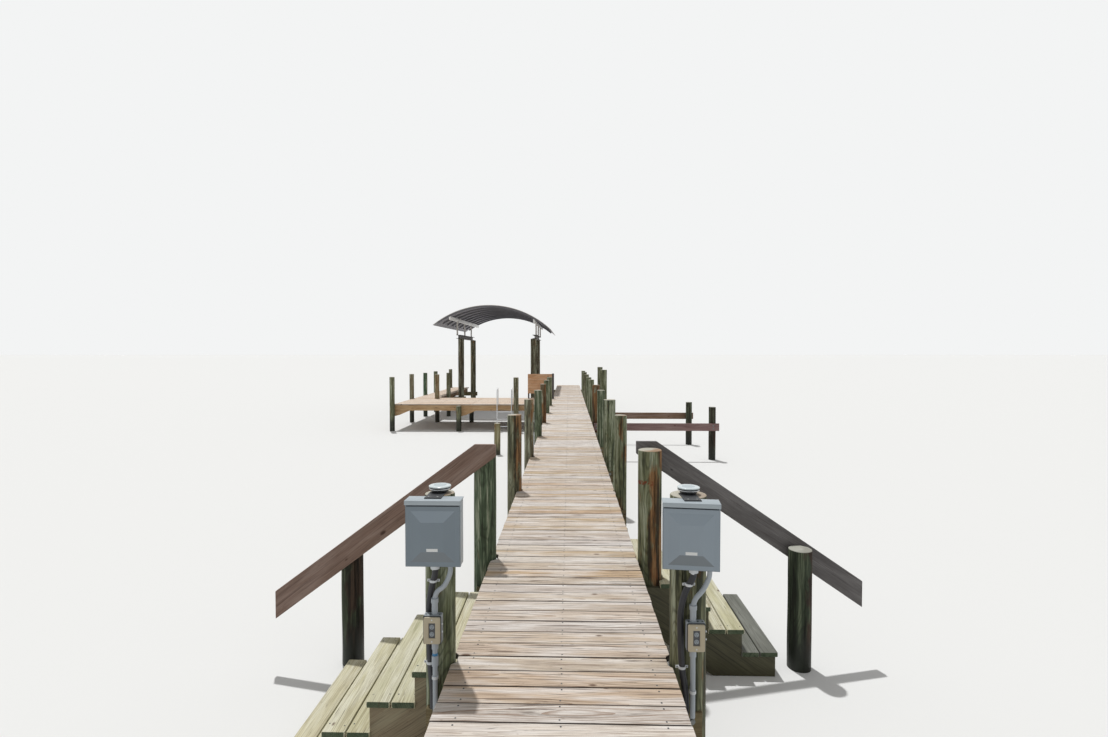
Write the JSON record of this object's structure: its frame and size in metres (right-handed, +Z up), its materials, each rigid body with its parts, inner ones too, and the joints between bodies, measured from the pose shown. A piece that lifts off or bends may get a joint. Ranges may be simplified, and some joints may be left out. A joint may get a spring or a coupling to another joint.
{
  "type": "wooden jetty",
  "caption": "Timber jetty on round pilings, with steps to the water on both sides, service posts, a sun deck and a canopied boat slip.",
  "frame": {"origin": "middle of the whole jetty's footprint, at the foot of the legs", "axes": "+Y from the shore end outwards along the walkway, +X to the right of it, +Z up"},
  "size_m": [9.8298, 29.55, 4.67],
  "materials": {
    "weathered_deck": "bare sawn pine boards, bleached and streaked",
    "joist_pine": "sawn pine, orange brown",
    "green_pine": "round pressure-treated pine, green grey with brown streaks",
    "tread_pine": "newer treated pine boards, pale yellow green",
    "red_rail": "weathered reddish brown boards",
    "grey_rail": "weathered dark grey boards",
    "grey_enamel": "satin grey enamel on sheet steel",
    "light_housing": "pale cap on a black base",
    "black_conduit": "matt black jacket",
    "grey_pvc": "satin grey tube and fittings",
    "outlet_plastic": "grey body with a tan cover",
    "ladder_metal": "satin drawn tube",
    "dark_beam": "dull dark paint",
    "canopy_frame": "dull brown-grey paint",
    "pale_rail": "pale mill finish",
    "canopy_skin": "dull brown-grey coated sheet"
  },
  "bodies": {
    "root": {"deck_boards_near": "weathered_deck", "deck_boards_mid": "weathered_deck", "deck_boards_far": "weathered_deck", "stringers_left": "joist_pine", "stringers_centre": "joist_pine", "stringers_right": "joist_pine", "bent_caps": "green_pine", "pilings_left": "green_pine", "pilings_right": "green_pine", "pilings_low": "green_pine", "service_post_left": "green_pine", "service_post_right": "green_pine", "enclosure_left": "grey_enamel", "enclosure_right": "grey_enamel", "enclosure_doors": "grey_enamel", "post_lights": "light_housing", "flex_conduits": "black_conduit", "service_pipes": "grey_pvc", "outlet_boxes": "outlet_plastic", "treads_left": "tread_pine", "treads_right": "tread_pine", "step_carriages_left": "tread_pine", "step_carriages_right": "tread_pine", "rail_left": "red_rail", "rail_right": "grey_rail", "rail_posts": "green_pine", "mooring_beams": "grey_rail", "mooring_posts": "green_pine", "mooring_piles": "green_pine", "platform_boards": "weathered_deck", "platform_joists": "joist_pine", "platform_fascia": "joist_pine", "platform_posts": "green_pine", "knee_braces": "joist_pine", "finger_boards": "weathered_deck", "finger_stringers": "joist_pine", "finger_posts": "green_pine", "deck_caps": "green_pine", "swim_ladder": "ladder_metal", "bench_back": "red_rail", "bench_frames": "grey_rail", "bench_seat": "red_rail", "slip_pilings": "green_pine", "slip_beams": "dark_beam", "canopy_uprights": "canopy_frame", "canopy_rails": "pale_rail", "canopy_ribs": "canopy_frame", "canopy_sheet": "canopy_skin"}
  },
  "joints": []
}
